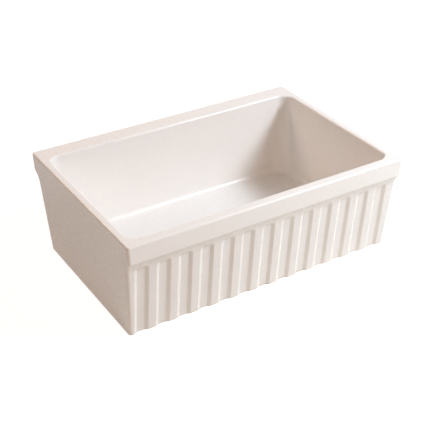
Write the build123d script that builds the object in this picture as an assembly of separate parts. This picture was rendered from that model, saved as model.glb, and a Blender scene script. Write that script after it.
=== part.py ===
from build123d import *

import math
import os

# Farmhouse sink with a fluted apron, and the basket strainer in its drain hole.
# Millimetres. +X is the sink's right as seen from the front, +Y is its back and +Z is up.
# The origin is in the middle of the base, on the plane that the foot ring stands on.

# Sink, outside
sink_length = 762.0
sink_width = 514.0
sink_height = 258.0
lip_height = 45.0
lip_top_radius = 5.0
lip_foot_radius = 2.5
side_projection = 4.0
front_projection = 14.5
back_projection = 26.5
cove_drop = 22.0
cove_radius = 40.0
outer_corner_radius = 7.0
side_lean = 6.0
front_lean = 17.0
back_lean = 26.0
base_edge_bevel = 0.8

# Flutes in the apron: stopped below the cove, open at the base
flute_pitch = 56.0
flute_row_offset = -4.5
flute_floor_width = 19.3
flute_depth = 5.0
flute_wall_run = 8.5
flute_floor_corner_radius = 1.5
flute_drop_below_cove = 2.0
flute_edge_radius = 3.0
flute_floor_edge_radius = 3.0

# Bowl
side_rim = 21.0
front_rim = 26.5
back_rim = 52.0
rim_edge_radius = 6.0
bowl_side_draft = 12.0
bowl_front_draft = 26.0
bowl_back_draft = 10.0
bowl_corner_radius = 30.0
bowl_foot_corner_radius = 45.0
bowl_floor_radius = 18.0
floor_thickness = 30.0
floor_fall = 4.0

# Underside
foot_recess = 8.0
foot_ring_width = 28.0
foot_recess_corner_radius = 20.0

# Drain hole
drain_diameter = 90.0
rebate_diameter = 118.0
rebate_depth = 4.5

# Strainer body, a cast cup with a flange
flange_diameter = 114.0
flange_thickness = 2.0
flange_edge_radius = 1.2
flange_seal_thickness = 1.5
flange_seal_width = 10.0
thread_diameter = 85.0
cup_wall = 2.0
shoulder_depth = 7.0
shoulder_width = 2.0
sump_depth = 48.0
sump_floor_thickness = 3.0
sump_corner_radius = 6.0
outlet_diameter = 38.0
neck_wall = 4.2
neck_length = 18.0
crossbar_width = 4.0
crossbar_thickness = 3.0
crossbar_drop = 12.0
hub_diameter = 18.0
hub_bore = 10.6

# What clamps the strainer to the sink
gasket_thickness = 4.0
gasket_diameter = 112.0
friction_washer_thickness = 1.2
locknut_diameter = 106.0
locknut_height = 12.0
locknut_lugs = 6
lug_length = 6.0
lug_width = 12.0
lug_corner_radius = 2.0
locknut_edge_cut = 1.0
thread_clearance = 0.1
washer_clearance = 0.5

# Tailpiece
tube_diameter = 38.1
tube_wall = 0.9
tube_length = 105.0
tube_flange_diameter = 45.0
tube_flange_thickness = 1.2
tailpiece_washer_thickness = 2.0
washer_sleeve_length = 6.0
washer_sleeve_wall = 1.0
washer_sleeve_clearance = 0.1
coupling_nut_flats = 54.0
coupling_nut_height = 16.0
coupling_nut_lip = 2.8
slip_clearance = 0.7
coupling_nut_corner_cut = 2.4

# Basket
basket_clearance = 0.5
basket_sheet = 0.8
basket_rim_width = 3.4
basket_depth = 24.0
basket_taper = 4.0
basket_corner_radius = 4.0
side_slots = 20
side_slot_width = 3.0
side_slot_height = 11.0
floor_hole_diameter = 4.0
floor_holes_per_ring = (10, 16)
floor_hole_ring_radii = (16.0, 25.0)

# Stopper, which slides in the basket's bush
stem_diameter = 6.0
stem_running_clearance = 0.06
bush_diameter = 12.0
bush_flange_diameter = 20.0
bush_flange_thickness = 2.0
bush_height = 12.0
bush_tail = 3.0
clip_ring_diameter = 18.0
clip_ring_thickness = 2.0
knob_diameter = 24.0
knob_neck_diameter = 12.0
knob_height = 13.0
knob_socket_depth = 8.0
knob_top_radius = 4.5
knob_edge_radius = 1.6
knob_gap = 0.5
stopper_diameter = 60.0
stopper_thickness = 3.0
stopper_plate_diameter = 48.0
stopper_plate_thickness = 1.2
stopper_nut_flats = 11.0
stopper_nut_corner_cut = 0.6
stopper_nut_thickness = 4.0
stem_tip_length = 4.0
stem_tip_chamfer = 1.0
catch_diameter = 9.8
catch_length = 6.0
catch_slit = 1.2

# How far a cut runs past the face it opens, and how near an edge lies to where it is looked for
cut_overrun = 1.0
edge_tolerance = 0.05

# Outside of the sink, from the base up
lip_foot_z = sink_height - lip_height
shoulder_z = lip_foot_z - cove_drop
flute_top_z = shoulder_z - flute_drop_below_cove
base_half_length = sink_length / 2 - side_projection - side_lean
base_front_y = -sink_width / 2 + front_projection + front_lean
base_back_y = sink_width / 2 - back_projection - back_lean
front_angle = math.degrees(math.atan2(front_lean, shoulder_z))
cove_turn = math.degrees(math.atan2(front_projection, cove_drop)) - front_angle
cove_run = cove_radius * math.tan(math.radians(cove_turn / 2))
flute_mouth_width = flute_floor_width + 2 * flute_wall_run
flute_room = 2 * (base_half_length - outer_corner_radius - abs(flute_row_offset)) - flute_mouth_width
flute_count = 1 + math.floor(flute_room / flute_pitch)

# Bowl, from the floor up
bowl_half_length = sink_length / 2 - side_rim
bowl_front_y = -sink_width / 2 + front_rim
bowl_back_y = sink_width / 2 - back_rim
floor_half_length = bowl_half_length - bowl_side_draft
floor_front_y = bowl_front_y + bowl_front_draft
floor_back_y = bowl_back_y - bowl_back_draft
floor_z = floor_thickness

# Drain and strainer, from the bowl's floor down
drain_y = (floor_front_y + floor_back_y) / 2
drain_rim_z = floor_z - floor_fall
rebate_z = drain_rim_z - rebate_depth
flange_z = rebate_z + flange_seal_thickness
flange_top_z = flange_z + flange_thickness
basket_seat_z = flange_top_z - shoulder_depth
sump_z = flange_top_z - sump_depth
neck_top_z = sump_z - sump_floor_thickness
neck_foot_z = neck_top_z - neck_length
crossbar_z = sump_z - crossbar_drop
cup_radius = thread_diameter / 2
seat_bore_radius = cup_radius - cup_wall
sump_radius = seat_bore_radius - shoulder_width
outlet_radius = outlet_diameter / 2
neck_radius = outlet_radius + neck_wall

# Under the sink's floor
gasket_foot_z = foot_recess - gasket_thickness
friction_foot_z = gasket_foot_z - friction_washer_thickness
locknut_foot_z = friction_foot_z - locknut_height
washer_foot_z = neck_foot_z - tailpiece_washer_thickness
tube_flange_foot_z = washer_foot_z - tube_flange_thickness
tube_foot_z = washer_foot_z - tube_length
nut_foot_z = tube_flange_foot_z - coupling_nut_lip
tube_radius = tube_diameter / 2
tube_bore_radius = tube_radius - tube_wall

# Basket and stopper, with the stopper shut
basket_rim_radius = seat_bore_radius - basket_clearance
basket_top_radius = basket_rim_radius - basket_rim_width
basket_floor_radius = basket_top_radius - basket_taper
basket_floor_z = basket_seat_z - basket_depth
bush_top_z = basket_floor_z + basket_sheet + bush_height
stem_radius = stem_diameter / 2
knob_z = bush_top_z + knob_gap
stem_top_z = knob_z + knob_socket_depth
stopper_top_z = sump_z + stopper_thickness
catch_middle_z = crossbar_z - crossbar_thickness / 2
stem_foot_z = catch_middle_z - catch_length / 2 - stem_tip_length


# A rounded rectangle at height z, between two sides, a front and a back.
def rounded_plan(half_length, front_y, back_y, radius, z):
    plan = RectangleRounded(2 * half_length, back_y - front_y, radius)
    return Pos(0, (front_y + back_y) / 2, z) * plan


# The closed outline through corners given as (radius, height), turned about the drain's axis.
def turned(*corners):
    outline = make_face(Polyline(*corners, close=True))
    return Pos(0, drain_y, 0) * revolve(Plane.XZ * outline, Axis.Z)


# A plain ring about the drain's axis.
def ring(inner_radius, outer_radius, low_z, high_z):
    return turned(
        (inner_radius, low_z),
        (outer_radius, low_z),
        (outer_radius, high_z),
        (inner_radius, high_z),
    )


# A hexagonal nut about the drain's axis, with its corners turned off at both ends.
def hexagon(flats, corner_cut, low_z, high_z):
    plan = RegularPolygon(flats / 2, 6, major_radius=False)
    prism = Pos(0, drain_y, low_z) * extrude(plan, high_z - low_z)
    corner_radius = flats / 2 / math.cos(math.radians(30))
    blank = turned(
        (0, low_z),
        (flats / 2, low_z),
        (corner_radius, low_z + corner_cut),
        (corner_radius, high_z - corner_cut),
        (flats / 2, high_z),
        (0, high_z),
    )
    return prism & blank


# Copies of a shape, evenly turned about the drain's axis.
def around_drain(shape, count):
    at_axis = Pos(0, -drain_y, 0) * shape
    turns = [Rot(0, 0, 360 / count * index) * at_axis for index in range(count)]
    return [Pos(0, drain_y, 0) * turn for turn in turns]


# Whether a corner of an outline lies at one of some places.
def is_among(corner, places):
    return any(math.dist((corner.X, corner.Y), place) < edge_tolerance for place in places)


# Outline of the body and cove, seen from the end. Each wall leans in towards the base by its own amount.
def end_outline():
    front_shoulder = (base_front_y - front_lean, shoulder_z)
    back_shoulder = (base_back_y + back_lean, shoulder_z)
    lip_front = (-sink_width / 2, lip_foot_z)
    lip_back = (sink_width / 2, lip_foot_z)
    lines = Polyline(
        back_shoulder, (base_back_y, 0), (base_front_y, 0), front_shoulder, lip_front, lip_back
    )
    # The back's cove is hollow: it leaves the wall in line with it and flares out to the lip.
    half_drop = cove_drop / 2
    turning = (back_shoulder[0] + back_lean * half_drop / shoulder_z, shoulder_z + half_drop)
    outline = make_face([lines, Bezier(lip_back, turning, back_shoulder)])
    shoulders = outline.vertices().filter_by(lambda corner: is_among(corner, [front_shoulder]))
    return fillet(shoulders, cove_radius)


# Outline of the body and cove, seen from the front.
def front_outline():
    shoulder_half = base_half_length + side_lean
    right = [(base_half_length, 0), (shoulder_half, shoulder_z), (sink_length / 2, lip_foot_z)]
    left = [(-x, z) for x, z in reversed(right)]
    outline = make_face(Polyline(*right, *left, close=True))
    places = [(shoulder_half, shoulder_z), (-shoulder_half, shoulder_z)]
    shoulders = outline.vertices().filter_by(lambda corner: is_among(corner, places))
    return fillet(shoulders, cove_radius)


# The level edges of a solid at height z.
def level_edges(solid, z):
    edges = solid.edges().filter_by(Plane.XY)
    return edges.filter_by_position(Axis.Z, z - edge_tolerance, z + edge_tolerance)


# Body of the casting and the cove that flares out from it, up to the foot of the lip.
def body_and_cove():
    lengthwise = extrude(Plane.YZ * end_outline(), sink_length, both=True)
    crosswise = extrude(Plane.XZ * front_outline(), sink_width, both=True)
    body = lengthwise & crosswise
    corners = body.edges().filter_by(lambda edge: edge.bounding_box().size.Z > edge_tolerance)
    body = fillet(corners, outer_corner_radius)
    return chamfer(level_edges(body, 0), base_edge_bevel)


# Outside of the casting, with the lip that runs all the way round and its soft edges.
def casting_outside():
    block = body_and_cove()
    block += extrude(block.faces().sort_by(Axis.Z)[-1], lip_height)
    block = fillet(level_edges(block, lip_foot_z), lip_foot_radius)
    return fillet(level_edges(block, sink_height), lip_top_radius)


# The leaning front face, with its x along the sink and its y up the face.
def apron_plane():
    lean = math.radians(front_angle)
    outward = (0, -math.cos(lean), -math.sin(lean))
    return Plane(origin=(0, base_front_y, 0), x_dir=(1, 0, 0), z_dir=outward)


# One flute as a tool: a slot with round top corners whose walls and end slope to its floor.
def flute_tool():
    overshoot = flute_depth / 2
    slope = math.degrees(math.atan2(flute_wall_run, flute_depth))
    flare = flute_wall_run * overshoot / flute_depth
    width = flute_floor_width + 2 * (flute_wall_run + flare)
    top = flute_top_z / math.cos(math.radians(front_angle)) + flare
    bottom = -2 * (flute_wall_run + flare)
    slot = Pos(0, (top + bottom) / 2) * Rectangle(width, top - bottom)
    top_corners = slot.vertices().group_by(Axis.Y)[-1]
    slot = fillet(top_corners, flute_floor_corner_radius + flute_wall_run + flare)
    mouth = apron_plane().offset(overshoot)
    return extrude(mouth * slot, -flute_depth - overshoot, taper=slope)


# As many flutes as the apron has room for, a pitch apart.
def flutes():
    tool = flute_tool()
    first_x = flute_row_offset - (flute_count - 1) / 2 * flute_pitch
    return [Pos(first_x + index * flute_pitch, 0, 0) * tool for index in range(flute_count)]


# The bowl as a tool: drafted walls, round corners, soft foot and a floor that falls to the drain.
def bowl_tool():
    floor_plan = rounded_plan(
        floor_half_length, floor_front_y, floor_back_y, bowl_foot_corner_radius, floor_z
    )
    rim_plan = rounded_plan(
        bowl_half_length, bowl_front_y, bowl_back_y, bowl_corner_radius, sink_height
    )
    walls = loft([floor_plan, rim_plan], ruled=True)
    floor_edges = walls.edges().filter_by(Plane.XY).group_by(Axis.Z)[0]
    walls = fillet(floor_edges, bowl_floor_radius)
    low_face = walls.faces().sort_by(Axis.Z)[0]
    drain_ring = Pos(0, drain_y, drain_rim_z) * Circle(rebate_diameter / 2)
    fall = loft([drain_ring.face(), low_face], ruled=True)
    return walls + fall


# Recess under the floor. What is left round it is the ring that the sink stands on.
def foot_recess_tool():
    plan = rounded_plan(
        base_half_length - foot_ring_width,
        base_front_y + foot_ring_width,
        base_back_y - foot_ring_width,
        foot_recess_corner_radius,
        0,
    )
    return extrude(plan, foot_recess)


# Drain hole with the rebate that the strainer's flange lies in.
def drain_tool():
    hole = ring(0, drain_diameter / 2, -cut_overrun, floor_z)
    rebate = ring(0, rebate_diameter / 2, rebate_z, floor_z)
    return hole + rebate


# Edges that the flutes leave at a depth behind the front face, or just before it in the cove's curve.
def flute_edges(casting, depth):
    plane = apron_plane()
    reach = edge_tolerance + max(cove_run - flute_drop_below_cove, 0) ** 2 / cove_radius
    highest = flute_top_z / math.cos(math.radians(front_angle)) + edge_tolerance

    def is_wanted(edge):
        middle = plane.to_local_coords(edge.position_at(0.5))
        on_flutes = abs(middle.X) < base_half_length - outer_corner_radius
        on_flutes = on_flutes and 2 * base_edge_bevel < middle.Y < highest
        return on_flutes and -edge_tolerance < middle.Z + depth < reach

    return casting.edges().filter_by(is_wanted)


def sink_body():
    casting = casting_outside() - flutes()
    casting = fillet(flute_edges(casting, 0), flute_edge_radius)
    casting = fillet(flute_edges(casting, flute_depth), flute_floor_edge_radius)
    casting -= bowl_tool()
    rim_face = casting.faces().sort_by(Axis.Z)[-1]
    casting = fillet(rim_face.inner_wires()[0].edges(), rim_edge_radius)
    return casting - foot_recess_tool() - drain_tool()


def flange_seal():
    outer_radius = flange_diameter / 2 - washer_clearance
    return ring(outer_radius - flange_seal_width, outer_radius, rebate_z, flange_z)


# Crossbars low in the outlet, with the hub that takes the stem's tip.
def crossbars():
    foot_z = crossbar_z - crossbar_thickness
    bar = Box(
        outlet_diameter + neck_wall,
        crossbar_width,
        crossbar_thickness,
        align=(Align.CENTER, Align.CENTER, Align.MIN),
    )
    bars = around_drain(Pos(0, drain_y, foot_z) * bar, 4)[:2]
    hub = ring(0, hub_diameter / 2, foot_z, crossbar_z)
    bore = ring(0, hub_bore / 2, foot_z - cut_overrun, crossbar_z + cut_overrun)
    return bars[0] + bars[1] + hub - bore


# Cast cup with its flange, the shoulder for the basket, the outlet neck and the crossbars.
def strainer_body():
    flange_radius = flange_diameter / 2
    shell = turned(
        (outlet_radius, neck_foot_z),
        (neck_radius, neck_foot_z),
        (neck_radius, neck_top_z),
        (cup_radius - cup_wall, neck_top_z),
        (cup_radius, neck_top_z + cup_wall),
        (cup_radius, flange_z),
        (flange_radius, flange_z),
        (flange_radius, flange_top_z),
        (seat_bore_radius + cup_wall, flange_top_z),
        (seat_bore_radius, flange_top_z - cup_wall),
        (seat_bore_radius, basket_seat_z),
        (sump_radius, basket_seat_z),
        (sump_radius, sump_z),
        (outlet_radius, sump_z),
    )
    edges = shell.edges().filter_by(GeomType.CIRCLE)
    sump_edges = edges.filter_by(lambda e: abs(e.radius - sump_radius) < edge_tolerance)
    sump_edge = sump_edges.sort_by(Axis.Z)[0]
    shell = fillet(sump_edge, sump_corner_radius)
    rim_edges = shell.edges().filter_by(GeomType.CIRCLE).group_by(Axis.Z)[-1]
    shell = fillet(rim_edges.sort_by(SortBy.LENGTH)[-1], flange_edge_radius)
    bore = ring(0, outlet_radius + neck_wall / 2, neck_foot_z, sump_z)
    return shell + (crossbars() & bore)


def sink_gasket():
    inner_radius = cup_radius + washer_clearance
    return ring(inner_radius, gasket_diameter / 2, gasket_foot_z, foot_recess)


def friction_washer():
    inner_radius = cup_radius + washer_clearance
    return ring(inner_radius, gasket_diameter / 2, friction_foot_z, gasket_foot_z)


# Ring nut with a flat-topped lug at every turn, to be driven round with a spanner.
def locknut():
    bore_radius = cup_radius + thread_clearance
    outer_radius = locknut_diameter / 2
    nut = ring(bore_radius, outer_radius, locknut_foot_z, friction_foot_z)
    foot_edge = nut.edges().filter_by(GeomType.CIRCLE).group_by(Axis.Z)[0].sort_by(SortBy.LENGTH)[-1]
    nut = chamfer(foot_edge, locknut_edge_cut)
    reach = outer_radius + lug_length
    lug = Box(
        reach - cup_radius - cup_wall,
        lug_width,
        locknut_height,
        align=(Align.MAX, Align.CENTER, Align.MIN),
    )
    lug = fillet(lug.edges().filter_by(Axis.Z).group_by(Axis.X)[-1], lug_corner_radius)
    return nut + around_drain(Pos(reach, drain_y, locknut_foot_z) * lug, locknut_lugs)


# Washer with a sleeve that centres it in the tailpiece.
def tailpiece_washer():
    sleeve_radius = tube_bore_radius - washer_sleeve_clearance
    return turned(
        (sleeve_radius - washer_sleeve_wall, washer_foot_z - washer_sleeve_length),
        (sleeve_radius, washer_foot_z - washer_sleeve_length),
        (sleeve_radius, washer_foot_z),
        (tube_flange_diameter / 2, washer_foot_z),
        (tube_flange_diameter / 2, neck_foot_z),
        (sleeve_radius - washer_sleeve_wall, neck_foot_z),
    )


def tailpiece():
    return turned(
        (tube_bore_radius, tube_foot_z),
        (tube_radius, tube_foot_z),
        (tube_radius, tube_flange_foot_z),
        (tube_flange_diameter / 2, tube_flange_foot_z),
        (tube_flange_diameter / 2, washer_foot_z),
        (tube_bore_radius, washer_foot_z),
    )


# Hexagonal nut that draws the tailpiece's flange up against the neck.
def coupling_nut():
    top_z = nut_foot_z + coupling_nut_height
    hex_block = hexagon(coupling_nut_flats, coupling_nut_corner_cut, nut_foot_z, top_z)
    bore = ring(0, neck_radius + thread_clearance, tube_flange_foot_z, top_z)
    throat = ring(0, tube_radius + slip_clearance, nut_foot_z, top_z)
    return hex_block - bore - throat


# Slots round the wall of the basket and rings of holes in its floor.
def basket_holes():
    slot_z = (basket_seat_z + basket_floor_z) / 2
    slot_plan = SlotOverall(side_slot_height, side_slot_width, rotation=90)
    slot = Pos(0, drain_y, slot_z) * extrude(Plane.YZ * slot_plan, basket_rim_radius)
    holes = around_drain(slot, side_slots)
    for count, ring_radius in zip(floor_holes_per_ring, floor_hole_ring_radii):
        plan = Pos(ring_radius, drain_y, basket_floor_z - cut_overrun) * Circle(floor_hole_diameter / 2)
        holes += around_drain(extrude(plan, basket_sheet + 2 * cut_overrun), count)
    return holes


# Pressed basket: a rim that lies on the shoulder, a tapered wall and a flat floor.
def basket_cup():
    outer = turned(
        (0, basket_floor_z),
        (basket_floor_radius, basket_floor_z),
        (basket_top_radius, basket_seat_z),
        (basket_top_radius, basket_seat_z + basket_sheet),
        (0, basket_seat_z + basket_sheet),
    )
    outer_edge = outer.edges().filter_by(GeomType.CIRCLE).sort_by(Axis.Z)[0]
    outer = fillet(outer_edge, basket_corner_radius)
    inner = turned(
        (0, basket_floor_z + basket_sheet),
        (basket_floor_radius - basket_sheet, basket_floor_z + basket_sheet),
        (basket_top_radius - basket_sheet, basket_seat_z),
        (basket_top_radius - basket_sheet, basket_seat_z + 2 * basket_sheet),
        (0, basket_seat_z + 2 * basket_sheet),
    )
    inner_edge = inner.edges().filter_by(GeomType.CIRCLE).sort_by(Axis.Z)[0]
    inner = fillet(inner_edge, basket_corner_radius - basket_sheet)
    rim_top_z = basket_seat_z + basket_sheet
    rim = ring(basket_top_radius - basket_sheet, basket_rim_radius, basket_seat_z, rim_top_z)
    bush_hole = ring(
        0, bush_diameter / 2, basket_floor_z - cut_overrun, basket_floor_z + basket_sheet + cut_overrun
    )
    return outer - inner + rim - bush_hole - basket_holes()


# Bush that the stem slides in, with a flange on the basket's floor.
def stem_guide():
    bore_radius = stem_radius + stem_running_clearance
    flange_foot_z = basket_floor_z + basket_sheet
    return turned(
        (bore_radius, basket_floor_z - bush_tail),
        (bush_diameter / 2, basket_floor_z - bush_tail),
        (bush_diameter / 2, flange_foot_z),
        (bush_flange_diameter / 2, flange_foot_z),
        (bush_flange_diameter / 2, flange_foot_z + bush_flange_thickness),
        (bush_diameter / 2, flange_foot_z + bush_flange_thickness),
        (bush_diameter / 2, bush_top_z),
        (bore_radius, bush_top_z),
    )


def basket_clip_ring():
    low_z = basket_floor_z - clip_ring_thickness
    return ring(bush_diameter / 2, clip_ring_diameter / 2, low_z, basket_floor_z)


def stem():
    rod = ring(0, stem_radius, stem_foot_z, stem_top_z)
    foot_edge = rod.edges().filter_by(GeomType.CIRCLE).sort_by(Axis.Z)[0]
    return chamfer(foot_edge, stem_tip_chamfer)


# Mushroom knob with a blind socket for the stem.
def knob():
    cap_foot_z = knob_z + knob_height / 2
    top_z = knob_z + knob_height
    body = turned(
        (0, knob_z),
        (knob_neck_diameter / 2, knob_z),
        (knob_neck_diameter / 2, cap_foot_z),
        (knob_diameter / 2, cap_foot_z),
        (knob_diameter / 2, top_z),
        (0, top_z),
    )
    circles = body.edges().filter_by(GeomType.CIRCLE)
    cap_edges = circles.filter_by(lambda e: abs(e.radius - knob_diameter / 2) < edge_tolerance)
    body = fillet(cap_edges.sort_by(Axis.Z)[-1:], knob_top_radius)
    circles = body.edges().filter_by(GeomType.CIRCLE)
    cap_edges = circles.filter_by(lambda e: abs(e.radius - knob_diameter / 2) < edge_tolerance)
    body = fillet(cap_edges.sort_by(Axis.Z)[:1], knob_edge_radius)
    return body - ring(0, stem_radius, knob_z - cut_overrun, stem_top_z)


def stopper_plate():
    high_z = stopper_top_z + stopper_plate_thickness
    return ring(stem_radius, stopper_plate_diameter / 2, stopper_top_z, high_z)


# Rubber disc with a bevelled upper edge. It lies on the sump's floor round the outlet.
def stopper_seal():
    disc = ring(stem_radius, stopper_diameter / 2, sump_z, stopper_top_z)
    top_edge = disc.edges().filter_by(GeomType.CIRCLE).group_by(Axis.Z)[-1].sort_by(SortBy.LENGTH)[-1]
    return chamfer(top_edge, stopper_thickness / 2)


def stopper_nut():
    nut_low_z = sump_z - stopper_nut_thickness
    nut = hexagon(stopper_nut_flats, stopper_nut_corner_cut, nut_low_z, sump_z)
    return nut - ring(0, stem_radius, nut_low_z - cut_overrun, sump_z + cut_overrun)


# Split spring sleeve near the stem's tip, at the height of the crossbars' hub.
def catch_clip():
    low_z = catch_middle_z - catch_length / 2
    sleeve = ring(stem_radius, catch_diameter / 2, low_z, low_z + catch_length)
    ends = sleeve.edges().filter_by(GeomType.CIRCLE)
    outer_edges = ends.filter_by(lambda e: abs(e.radius - catch_diameter / 2) < edge_tolerance)
    sleeve = chamfer(outer_edges, (catch_diameter - stem_diameter) / 4)
    slit = Box(catch_diameter, catch_slit, catch_length, align=(Align.MIN, Align.CENTER, Align.MIN))
    return sleeve - Pos(0, drain_y, low_z) * slit


pieces = {
    "sink_body": sink_body,
    "flange_seal": flange_seal,
    "strainer_body": strainer_body,
    "sink_gasket": sink_gasket,
    "friction_washer": friction_washer,
    "locknut": locknut,
    "tailpiece_washer": tailpiece_washer,
    "tailpiece": tailpiece,
    "coupling_nut": coupling_nut,
    "basket_cup": basket_cup,
    "stem_guide": stem_guide,
    "basket_clip_ring": basket_clip_ring,
    "stem": stem,
    "knob": knob,
    "stopper_plate": stopper_plate,
    "stopper_seal": stopper_seal,
    "stopper_nut": stopper_nut,
    "catch_clip": catch_clip,
}

os.makedirs("parts", exist_ok=True)
for name, build in pieces.items():
    export_step(build(), f"parts/{name}.step")
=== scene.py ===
import math

import bpy
import numpy as np
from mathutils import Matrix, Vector


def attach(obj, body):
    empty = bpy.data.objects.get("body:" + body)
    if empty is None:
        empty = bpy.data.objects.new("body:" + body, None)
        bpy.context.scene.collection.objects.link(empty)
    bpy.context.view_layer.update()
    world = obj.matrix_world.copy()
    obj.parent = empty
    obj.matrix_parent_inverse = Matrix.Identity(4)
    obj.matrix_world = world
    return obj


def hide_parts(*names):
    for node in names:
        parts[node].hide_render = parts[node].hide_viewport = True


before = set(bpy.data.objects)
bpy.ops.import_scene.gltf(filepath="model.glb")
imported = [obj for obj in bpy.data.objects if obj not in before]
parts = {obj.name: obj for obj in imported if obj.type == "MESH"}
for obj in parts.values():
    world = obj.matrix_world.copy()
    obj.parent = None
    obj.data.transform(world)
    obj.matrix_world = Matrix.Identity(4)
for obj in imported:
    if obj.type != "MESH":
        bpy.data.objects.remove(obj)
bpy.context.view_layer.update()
print("frame loaded:", len(parts), "parts")

# the waste's upright axis, in metres from the middle of the base
drainAxis = (0.0, -0.00475, 0.0)


# --- short ways to add shader nodes
def place(tree, kind, sockets=None, **settings):
    made = tree.nodes.new("ShaderNode" + kind)
    for key, value in settings.items():
        setattr(made, key, value)
    for key, value in (sockets or {}).items():
        if isinstance(value, bpy.types.NodeSocket):
            tree.links.new(value, made.inputs[key])
        else:
            made.inputs[key].default_value = value
    return made


def calc(tree, operation, first, second=0.0):
    return place(tree, "Math", {0: first, 1: second}, operation=operation).outputs["Value"]


def blendColours(tree, amount, low, high):
    mix = place(tree, "Mix", {"Factor": amount}, data_type="RGBA")
    for label, colour in (("A", low), ("B", high)):
        socket = [s for s in mix.inputs if s.name == label and s.type == "RGBA"][0]
        if isinstance(colour, bpy.types.NodeSocket):
            tree.links.new(colour, socket)
        else:
            socket.default_value = (*colour, 1.0)
    return [s for s in mix.outputs if s.type == "RGBA"][0]


def spread(tree, value, low, high):
    sockets = {"Value": value, "To Min": low, "To Max": high}
    return place(tree, "MapRange", sockets).outputs["Result"]


def startGroup(name, inputs, outputs):
    tree = bpy.data.node_groups.new(name, "ShaderNodeTree")
    for label, kind, value in inputs:
        socket = tree.interface.new_socket(name=label, in_out="INPUT", socket_type=kind)
        if value is not None:
            socket.default_value = value
    for label in outputs:
        tree.interface.new_socket(name=label, in_out="OUTPUT", socket_type="NodeSocketFloat")
    given = tree.nodes.new("NodeGroupInput").outputs
    result = tree.nodes.new("NodeGroupOutput").inputs
    return tree, given, result


# --- effects that several finishes share
def makeMottle():
    # soft uneven patches of a given size
    tree, given, result = startGroup(
        "mottle",
        [
            ("Position", "NodeSocketVector", None),
            ("Patch size", "NodeSocketFloat", 0.01),
            ("Detail", "NodeSocketFloat", 2.0),
        ],
        ["Height"],
    )
    scale = calc(tree, "DIVIDE", 1.0, given["Patch size"])
    noise = place(
        tree,
        "TexNoise",
        {"Vector": given["Position"], "Scale": scale, "Detail": given["Detail"], "Roughness": 0.5},
    )
    tree.links.new(noise.outputs[0], result["Height"])
    return tree


def aroundDrain(tree, position):
    # a point's place from the waste's axis, and how far from it that is
    centred = place(tree, "VectorMath", {0: position, 1: drainAxis}, operation="SUBTRACT")
    flatten = {0: centred.outputs[0], 1: (1.0, 1.0, 0.0)}
    flat = place(tree, "VectorMath", flatten, operation="MULTIPLY").outputs[0]
    radius = place(tree, "VectorMath", {0: flat}, operation="LENGTH").outputs["Value"]
    return place(tree, "SeparateXYZ", {0: centred.outputs[0]}).outputs, radius


def makeTurnedLines():
    # fine rings round the waste's axis, as a lathe or a polishing wheel leaves them
    tree, given, result = startGroup(
        "turnedLines",
        [("Position", "NodeSocketVector", None), ("Line width", "NodeSocketFloat", 0.0004)],
        ["Height"],
    )
    axes, radius = aroundDrain(tree, given["Position"])
    acrossRadius = calc(tree, "DIVIDE", radius, given["Line width"])
    acrossHeight = calc(tree, "DIVIDE", axes["Z"], given["Line width"])
    across = place(tree, "CombineXYZ", {"X": acrossRadius, "Y": acrossHeight}).outputs[0]
    sockets = {"Vector": across, "Scale": 1.0, "Detail": 2.0}
    noise = place(tree, "TexNoise", sockets, noise_dimensions="2D")
    tree.links.new(noise.outputs[0], result["Height"])
    return tree


def makeThread():
    # a screw thread on the outside of a turned part: it climbs one pitch a turn
    tree, given, result = startGroup(
        "thread",
        [
            ("Position", "NodeSocketVector", None),
            ("Pitch", "NodeSocketFloat", 0.002),
            ("Foot", "NodeSocketFloat", 0.0),
            ("Top", "NodeSocketFloat", 0.01),
            ("Inner radius", "NodeSocketFloat", 0.01),
        ],
        ["Height", "Mask"],
    )
    axes, radius = aroundDrain(tree, given["Position"])
    angle = calc(tree, "ARCTAN2", axes["Y"], axes["X"])
    turns = calc(tree, "DIVIDE", angle, 2 * math.pi)
    climb = calc(tree, "DIVIDE", axes["Z"], given["Pitch"])
    wave = calc(tree, "PINGPONG", calc(tree, "ADD", climb, turns), 0.5)
    above = calc(tree, "GREATER_THAN", axes["Z"], given["Foot"])
    below = calc(tree, "LESS_THAN", axes["Z"], given["Top"])
    outside = calc(tree, "GREATER_THAN", radius, given["Inner radius"])
    mask = calc(tree, "MULTIPLY", calc(tree, "MULTIPLY", above, below), outside)
    ridges = calc(tree, "MULTIPLY", calc(tree, "MULTIPLY", wave, 2.0), mask)
    tree.links.new(ridges, result["Height"])
    tree.links.new(mask, result["Mask"])
    return tree


groups = {"mottle": makeMottle(), "turnedLines": makeTurnedLines(), "thread": makeThread()}
print("shared effects made:", ", ".join(groups))


def useGroup(tree, name, sockets):
    made = tree.nodes.new("ShaderNodeGroup")
    made.node_tree = groups[name]
    for key, value in sockets.items():
        if isinstance(value, bpy.types.NodeSocket):
            tree.links.new(value, made.inputs[key])
        else:
            made.inputs[key].default_value = value
    return made.outputs


def mottle(tree, position, size, detail):
    sockets = {"Position": position, "Patch size": size, "Detail": detail}
    return useGroup(tree, "mottle", sockets)["Height"]


def turnedLines(tree, position, width):
    return useGroup(tree, "turnedLines", {"Position": position, "Line width": width})["Height"]


def startFinish(name):
    material = bpy.data.materials.new(name)
    material.use_nodes = True
    tree = material.node_tree
    position = place(tree, "TexCoord").outputs["Object"]
    return material, tree, tree.nodes["Principled BSDF"].inputs, position


def addBump(tree, height, depth, under=None):
    sockets = {"Height": height, "Distance": depth, "Strength": 1.0}
    if under is not None:
        sockets["Normal"] = under
    return place(tree, "Bump", sockets).outputs["Normal"]


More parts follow.
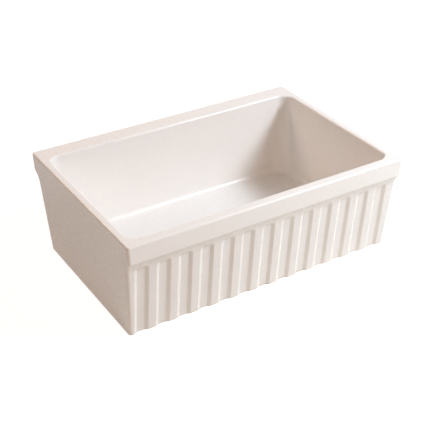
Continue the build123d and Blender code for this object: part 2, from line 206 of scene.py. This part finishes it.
# --- the casting's white glaze, with bare fired clay on the ring that it stands on
glazeLook = {
    "colour": (0.885, 0.862, 0.838),
    "thinColour": (0.875, 0.850, 0.825),
    "gloss": (0.22, 0.32),
    "bareColour": (0.62, 0.52, 0.42),
    "bareRoughness": 0.85,
    "bareHeight": 0.0011,
    "bareWander": 0.0012,
    "bareEdge": 0.0001,
    "wanderSize": 0.012,
    "waveSize": 0.045,
    "waveDepth": 0.00016,
    "skinSize": 0.0022,
    "skinDepth": 0.000006,
}


def makeGlaze(look):
    material, tree, shader, position = startFinish("glazeWhite")
    wave = mottle(tree, position, look["waveSize"], 1.0)
    skin = mottle(tree, position, look["skinSize"], 2.0)
    wander = mottle(tree, position, look["wanderSize"], 3.0)
    level = place(tree, "SeparateXYZ", {0: position}).outputs["Z"]
    edge = calc(tree, "ADD", look["bareHeight"], calc(tree, "MULTIPLY", wander, look["bareWander"]))
    sockets = {
        "Value": calc(tree, "SUBTRACT", edge, level),
        "From Min": -look["bareEdge"],
        "From Max": look["bareEdge"],
    }
    bare = place(tree, "MapRange", sockets).outputs["Result"]
    glazed = blendColours(tree, wave, look["thinColour"], look["colour"])
    tree.links.new(blendColours(tree, bare, glazed, look["bareColour"]), shader["Base Color"])
    glossy = spread(tree, skin, *look["gloss"])
    sockets = {"Factor": bare, "A": glossy, "B": look["bareRoughness"]}
    tree.links.new(place(tree, "Mix", sockets).outputs["Result"], shader["Roughness"])
    soft = addBump(tree, wave, look["waveDepth"])
    tree.links.new(addBump(tree, skin, look["skinDepth"], soft), shader["Normal"])
    return material


# --- polished stainless steel of the strainer, basket and stem
steelLook = {
    "colour": (0.60, 0.59, 0.575),
    "dullColour": (0.50, 0.49, 0.475),
    "polish": (0.16, 0.34),
    "lineWidth": 0.00035,
    "lineDepth": 0.000012,
    "patchSize": 0.018,
    "cupThread": {"Pitch": 0.0022, "Foot": -0.0235, "Top": 0.006, "Inner radius": 0.0415},
    "neckThread": {"Pitch": 0.0020, "Foot": -0.0445, "Top": -0.0265, "Inner radius": 0.0225},
    "threadDepth": 0.0009,
    "cupThreadDulling": 0.08,
    "neckThreadDulling": 0.04,
}


def makeSteel(look):
    material, tree, shader, position = startFinish("wasteSteel")
    lines = turnedLines(tree, position, look["lineWidth"])
    patches = mottle(tree, position, look["patchSize"], 2.0)
    cup = useGroup(tree, "thread", {"Position": position, **look["cupThread"]})
    neck = useGroup(tree, "thread", {"Position": position, **look["neckThread"]})
    ridges = calc(tree, "ADD", cup["Height"], neck["Height"])
    cupDull = calc(tree, "MULTIPLY", cup["Mask"], look["cupThreadDulling"])
    neckDull = calc(tree, "MULTIPLY", neck["Mask"], look["neckThreadDulling"])
    tone = blendColours(tree, patches, look["dullColour"], look["colour"])
    tree.links.new(tone, shader["Base Color"])
    shader["Metallic"].default_value = 1.0
    polish = spread(tree, lines, *look["polish"])
    rough = calc(tree, "ADD", polish, calc(tree, "ADD", cupDull, neckDull))
    tree.links.new(rough, shader["Roughness"])
    cut = addBump(tree, ridges, look["threadDepth"])
    tree.links.new(addBump(tree, lines, look["lineDepth"], cut), shader["Normal"])
    return material


# --- die-cast zinc of the two nuts
zincLook = {
    "colour": (0.47, 0.475, 0.48),
    "darkColour": (0.36, 0.365, 0.375),
    "roughness": (0.36, 0.58),
    "grainSize": 0.0013,
    "grainDepth": 0.00003,
    "patchSize": 0.014,
}


def makeZinc(look):
    material, tree, shader, position = startFinish("castZinc")
    grain = mottle(tree, position, look["grainSize"], 3.0)
    patches = mottle(tree, position, look["patchSize"], 2.0)
    tone = blendColours(tree, patches, look["darkColour"], look["colour"])
    tree.links.new(tone, shader["Base Color"])
    shader["Metallic"].default_value = 1.0
    tree.links.new(spread(tree, grain, *look["roughness"]), shader["Roughness"])
    tree.links.new(addBump(tree, grain, look["grainDepth"]), shader["Normal"])
    return material


# --- drawn brass of the tailpiece and the stem's nut, and the springier brass of the catch
brassLook = {
    "tube": {
        "colour": (0.72, 0.50, 0.22),
        "darkColour": (0.50, 0.32, 0.13),
        "roughness": (0.24, 0.42),
    },
    "spring": {
        "colour": (0.78, 0.47, 0.24),
        "darkColour": (0.62, 0.35, 0.16),
        "roughness": (0.20, 0.34),
    },
    "patchSize": 0.02,
    "lineWidth": 0.0005,
    "lineDepth": 0.000010,
}


def makeBrass(name, look):
    material, tree, shader, position = startFinish(name)
    lines = turnedLines(tree, position, brassLook["lineWidth"])
    tarnish = mottle(tree, position, brassLook["patchSize"], 4.0)
    tone = blendColours(tree, tarnish, look["darkColour"], look["colour"])
    tree.links.new(tone, shader["Base Color"])
    shader["Metallic"].default_value = 1.0
    tree.links.new(spread(tree, lines, *look["roughness"]), shader["Roughness"])
    tree.links.new(addBump(tree, lines, brassLook["lineDepth"]), shader["Normal"])
    return material


# --- the soft and moulded pieces differ only in colour, sheen and grain
mouldedLooks = {
    "rubber": {
        "colour": (0.030, 0.030, 0.031),
        "second": (0.055, 0.054, 0.053),
        "roughness": (0.55, 0.75),
        "grainSize": 0.0009,
        "grainDepth": 0.00002,
        "patchSize": 0.015,
    },
    "putty": {
        "colour": (0.50, 0.43, 0.32),
        "second": (0.60, 0.53, 0.41),
        "roughness": (0.62, 0.82),
        "grainSize": 0.004,
        "grainDepth": 0.00035,
        "patchSize": 0.015,
    },
    "fibre": {
        "colour": (0.30, 0.19, 0.11),
        "second": (0.44, 0.30, 0.19),
        "roughness": (0.80, 0.95),
        "grainSize": 0.0016,
        "grainDepth": 0.00006,
        "patchSize": 0.015,
    },
    "white_plastic": {
        "colour": (0.76, 0.76, 0.74),
        "second": (0.80, 0.80, 0.78),
        "roughness": (0.36, 0.46),
        "grainSize": 0.0012,
        "grainDepth": 0.000008,
        "patchSize": 0.015,
    },
    "black_plastic": {
        "colour": (0.018, 0.018, 0.020),
        "second": (0.026, 0.026, 0.028),
        "roughness": (0.26, 0.38),
        "grainSize": 0.0008,
        "grainDepth": 0.000008,
        "patchSize": 0.015,
    },
}


def makeMoulded(slotName, look):
    words = slotName.split("_")
    name = words[0] + "".join(word.title() for word in words[1:])
    material, tree, shader, position = startFinish(name)
    grain = mottle(tree, position, look["grainSize"], 3.0)
    patches = mottle(tree, position, look["patchSize"], 2.0)
    tone = blendColours(tree, patches, look["colour"], look["second"])
    tree.links.new(tone, shader["Base Color"])
    tree.links.new(spread(tree, grain, *look["roughness"]), shader["Roughness"])
    tree.links.new(addBump(tree, grain, look["grainDepth"]), shader["Normal"])
    return material


finishes = {
    "glaze": makeGlaze(glazeLook),
    "waste_steel": makeSteel(steelLook),
    "cast_zinc": makeZinc(zincLook),
    "tube_brass": makeBrass("tubeBrass", brassLook["tube"]),
    "spring_brass": makeBrass("springBrass", brassLook["spring"]),
}
for slotName, look in mouldedLooks.items():
    finishes[slotName] = makeMoulded(slotName, look)
for part in parts.values():
    for index, carried in enumerate(part.data.materials):
        part.data.materials[index] = finishes[carried.name]
print("finishes made:", ", ".join(finishes))


# --- the casting with plain ends, which run straight from rim to base without the cove's line
# shellStart: what lies farther out along the length is outer shell, in metres
# foot, top: the levels between which an end is one plane
# sideways, endwise: how a normal of the end's own outline may lie
plainEnds = {
    "shellStart": 0.3605,
    "foot": 0.0008,
    "top": 0.2530,
    "sideways": 0.003,
    "endwise": 0.9,
    "weld": 0.000002,
}


def readVectors(rows, field):
    values = np.empty(len(rows) * 3, dtype=np.float32)
    rows.foreach_get(field, values)
    return values.reshape(-1, 3)


def weldedCopy(source, name, weld):
    # the true corner normals ride through the weld as an attribute
    mesh = source.data.copy()
    mesh.name = name
    copy = bpy.data.objects.new(name, mesh)
    bpy.context.scene.collection.objects.link(copy)
    normals = readVectors(mesh.corner_normals, "vector")
    kept = mesh.attributes.new("cadNormal", "FLOAT_VECTOR", "CORNER")
    kept.data.foreach_set("vector", normals.reshape(-1))
    bpy.ops.object.select_all(action="DESELECT")
    bpy.context.view_layer.objects.active = copy
    copy.select_set(True)
    bpy.ops.object.mode_set(mode="EDIT")
    bpy.ops.mesh.select_all(action="SELECT")
    bpy.ops.mesh.remove_doubles(threshold=weld)
    bpy.ops.object.mode_set(mode="OBJECT")
    normals = readVectors(mesh.attributes["cadNormal"].data, "vector")
    mesh.attributes.remove(mesh.attributes["cadNormal"])
    return copy, normals


def makePlainEnds(source, look):
    casting, normals = weldedCopy(source, "castingPlainEnds", look["weld"])
    mesh = casting.data
    owners = np.empty(len(mesh.loops), dtype=np.int32)
    mesh.loops.foreach_get("vertex_index", owners)
    points = readVectors(mesh.vertices, "co")
    corners = points[owners]

    # the end's own outline, read from the faces that look straight along the length
    faceOn = np.abs(corners[:, 0]) > look["shellStart"]
    faceOn &= np.abs(normals[:, 1]) < look["sideways"]
    faceOn &= np.abs(normals[:, 0]) > look["endwise"]
    order = np.argsort(corners[faceOn][:, 2])
    levels = corners[faceOn][order][:, 2]
    reach = np.abs(corners[faceOn][order][:, 0])
    lean = -(normals[faceOn][:, 2] / np.abs(normals[faceOn][:, 0]))[order]
    footReach = np.interp(look["foot"], levels, reach)
    topReach = np.interp(look["top"], levels, reach)
    slope = (topReach - footReach) / (look["top"] - look["foot"])

    # a point on an end moves by what its level asks for, and its normals lean with it
    def onEnd(places, change):
        height = places[:, 2]
        inside = (height >= look["foot"]) & (height <= look["top"])
        inside &= np.abs(places[:, 0]) > look["shellStart"]
        return np.where(inside, change(height), 0.0)

    def outwards(height):
        straight = footReach + slope * (height - look["foot"])
        return straight - np.interp(height, levels, reach)

    shift = onEnd(points, outwards)
    tilt = onEnd(corners, lambda height: slope - np.interp(height, levels, lean))
    normals[:, 2] -= tilt * np.abs(normals[:, 0])
    normals /= np.linalg.norm(normals, axis=1)[:, None]
    points[:, 0] += np.sign(points[:, 0]) * shift
    mesh.vertices.foreach_set("co", points.reshape(-1))
    mesh.normals_split_custom_set(normals.tolist())
    mesh.update()
    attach(casting, "sink")
    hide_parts("sink_body")
    most = float(np.abs(shift).max()) * 1000
    print("casting's ends made plain:", round(most, 2), "mm at most")


makePlainEnds(parts["sink_body"], plainEnds)


# --- studio: white surroundings, a pale floor and soft lamps
# floorInset: how far the floor's opening lies inside the casting's foot
# floorFade: the distances between which the floor's look goes over to plain white
studio = {
    "fill": (0.0, 0.0, 0.0),
    "fillBelow": (0.62, 0.60, 0.58),
    "floorColour": (0.93, 0.865, 0.79),
    "floorInset": 0.006,
    "floorReach": 6.0,
    "floorGlow": 0.9,
    "floorFade": (1.0, 3.5),
    "floorShade": 0.25,
    "floorPatch": 0.4,
    "floorUneven": 0.02,
    "footLevel": 0.0005,
}
# azimuth 0 is straight in front and turns towards the right; power is in watts
lamps = {
    "keyLamp": {
        "azimuth": 45, "elevation": 40, "size": 0.6, "power": 40.5,
        "colour": (0.83, 0.917, 1.0), "inGloss": True,
    },
    "sideLamp": {
        "azimuth": 65, "elevation": 40, "size": 0.6, "power": 23.3,
        "colour": (0.81, 0.905, 1.0), "inGloss": True,
    },
    "lowLamp": {
        "azimuth": 60, "elevation": 20, "size": 0.9, "power": 5.7,
        "colour": (1.0, 0.7, 0.5), "inGloss": False,
    },
    "backLamp": {
        "azimuth": -160, "elevation": 50, "size": 0.9, "power": 23.8,
        "colour": (1.0, 0.745, 0.58), "inGloss": True,
    },
    "leftLamp": {
        "azimuth": -30, "elevation": 45, "size": 0.9, "power": 10.9,
        "colour": (1.0, 0.7, 0.5), "inGloss": False,
    },
    "endLamp": {
        "azimuth": -70, "elevation": 40, "size": 0.9, "power": 3.6,
        "colour": (1.0, 0.66, 0.44), "inGloss": False,
    },
    "highLamp": {
        "azimuth": 180, "elevation": 65, "size": 0.9, "power": 3.6,
        "colour": (0.82, 0.9, 1.0), "inGloss": True,
    },
}
lampAim = Vector((0.0, 0.0, 0.15))
lampDistance = 2.6


def isSeen(tree):
    # 1 where the camera, gloss or glass looks, 0 where light is gathered
    path = place(tree, "LightPath").outputs
    seen = calc(tree, "MAXIMUM", path["Is Camera Ray"], path["Is Glossy Ray"])
    return calc(tree, "MAXIMUM", seen, path["Is Transmission Ray"])


def makeWorld():
    # it looks white, and lights dull surfaces only from below, through the floor's opening
    world = bpy.data.worlds.new("studioWhite")
    bpy.context.scene.world = world
    world.use_nodes = True
    tree = world.node_tree
    tree.nodes.clear()
    direction = place(tree, "TexCoord").outputs["Generated"]
    rise = place(tree, "SeparateXYZ", {0: direction}).outputs["Z"]
    below = calc(tree, "LESS_THAN", rise, 0.0)
    fill = blendColours(tree, below, studio["fill"], studio["fillBelow"])
    colour = blendColours(tree, isSeen(tree), fill, (1.0, 1.0, 1.0))
    sky = place(tree, "Background", {"Color": colour, "Strength": 1.0}).outputs[0]
    end = place(tree, "OutputWorld")
    tree.links.new(sky, end.inputs["Surface"])


def makeFloorFinish():
    # it bounces light as a pale board, looks white with a soft shadow, and is clear from below
    material = bpy.data.materials.new("paleFloor")
    material.use_nodes = True
    tree = material.node_tree
    tree.nodes.clear()
    position = place(tree, "TexCoord").outputs["Object"]
    patches = mottle(tree, position, studio["floorPatch"], 2.0)
    bounce = place(tree, "BsdfDiffuse", {"Color": (*studio["floorColour"], 1.0)}).outputs[0]
    uneven = studio["floorShade"] * studio["floorUneven"]
    shade = spread(tree, patches, studio["floorShade"] - uneven, studio["floorShade"] + uneven)
    grey = place(tree, "CombineColor", {0: shade, 1: shade, 2: shade}).outputs[0]
    dim = place(tree, "BsdfDiffuse", {"Color": grey}).outputs[0]
    distance = place(tree, "VectorMath", {0: position}, operation="LENGTH").outputs["Value"]
    fadeStart, fadeEnd = studio["floorFade"]
    brighter = {
        "Value": distance,
        "From Min": fadeStart,
        "From Max": fadeEnd,
        "To Min": studio["floorGlow"],
        "To Max": 1.0,
    }
    strength = place(tree, "MapRange", brighter).outputs["Result"]
    glow = place(tree, "Emission", {"Strength": strength}).outputs[0]
    fromAbove = place(tree, "AddShader", {0: dim, 1: glow}).outputs[0]
    clear = place(tree, "BsdfTransparent").outputs[0]
    under = place(tree, "NewGeometry").outputs["Backfacing"]
    look = place(tree, "MixShader", {0: under, 1: fromAbove, 2: clear}).outputs[0]
    both = place(tree, "MixShader", {0: isSeen(tree), 1: bounce, 2: look}).outputs[0]
    end = place(tree, "OutputMaterial")
    tree.links.new(both, end.inputs["Surface"])
    return material


def makeFloor():
    # a board open under the casting, a little smaller than its foot
    places = [vertex.co for vertex in parts["sink_body"].data.vertices]
    foot = [spot for spot in places if spot.z < studio["footLevel"]]
    lowX, highX = min(spot.x for spot in foot), max(spot.x for spot in foot)
    lowY, highY = min(spot.y for spot in foot), max(spot.y for spot in foot)
    length = highX - lowX - 2 * studio["floorInset"]
    depth = highY - lowY - 2 * studio["floorInset"]
    middle = ((lowX + highX) / 2, (lowY + highY) / 2, 0.0)
    bpy.ops.object.select_all(action="DESELECT")
    bpy.ops.mesh.primitive_plane_add(size=1.0)
    floor = bpy.context.object
    floor.name = "floor"
    bpy.ops.object.mode_set(mode="EDIT")
    bpy.ops.mesh.select_all(action="SELECT")
    bpy.ops.transform.resize(value=(length, depth, 1), center_override=(0, 0, 0))
    bpy.ops.transform.translate(value=middle)
    bpy.ops.mesh.delete(type="ONLY_FACE")
    bpy.ops.mesh.select_all(action="SELECT")
    bpy.ops.mesh.extrude_region_move()
    grow = (2 * studio["floorReach"] / length, 2 * studio["floorReach"] / depth, 1)
    bpy.ops.transform.resize(value=grow, center_override=middle)
    bpy.ops.object.mode_set(mode="OBJECT")
    if floor.data.polygons[0].normal.z < 0:
        floor.data.flip_normals()
    floor.data.materials.append(makeFloorFinish())


def aimFrom(azimuth, elevation):
    # the way from the sink towards what stands at that azimuth and elevation
    turn, rise = math.radians(azimuth), math.radians(elevation)
    flat = math.cos(rise)
    return Vector((math.sin(turn) * flat, -math.cos(turn) * flat, math.sin(rise)))


def makeLamp(name, lamp):
    data = bpy.data.lights.new(name, "AREA")
    data.shape = "SQUARE"
    data.size = lamp["size"]
    data.energy = lamp["power"]
    data.color = lamp["colour"]
    stand = bpy.data.objects.new(name, data)
    bpy.context.scene.collection.objects.link(stand)
    way = aimFrom(lamp["azimuth"], lamp["elevation"])
    stand.visible_glossy = lamp["inGloss"]
    stand.location = lampAim + way * lampDistance
    stand.rotation_euler = (-way).to_track_quat("-Z", "Y").to_euler()


makeWorld()
makeFloor()
for name, lamp in lamps.items():
    makeLamp(name, lamp)
bpy.context.scene.view_settings.view_transform = "Standard"
print("studio lit by", len(lamps), "lamps")


# --- camera at the photograph's viewpoint
viewpoint = {
    "place": (-1.13765, -1.82154, 1.40227),
    "azimuth": -31.937,
    "elevation": 31.519,
    "lens": 82.286,
}
cameraData = bpy.data.cameras.new("camera")
cameraData.lens = viewpoint["lens"]
camera = bpy.data.objects.new("camera", cameraData)
bpy.context.scene.collection.objects.link(camera)
bpy.context.scene.camera = camera
camera.location = viewpoint["place"]
camera.rotation_mode = "QUATERNION"
outwards = aimFrom(viewpoint["azimuth"], viewpoint["elevation"])
camera.rotation_quaternion = (-outwards).to_track_quat("-Z", "Y")
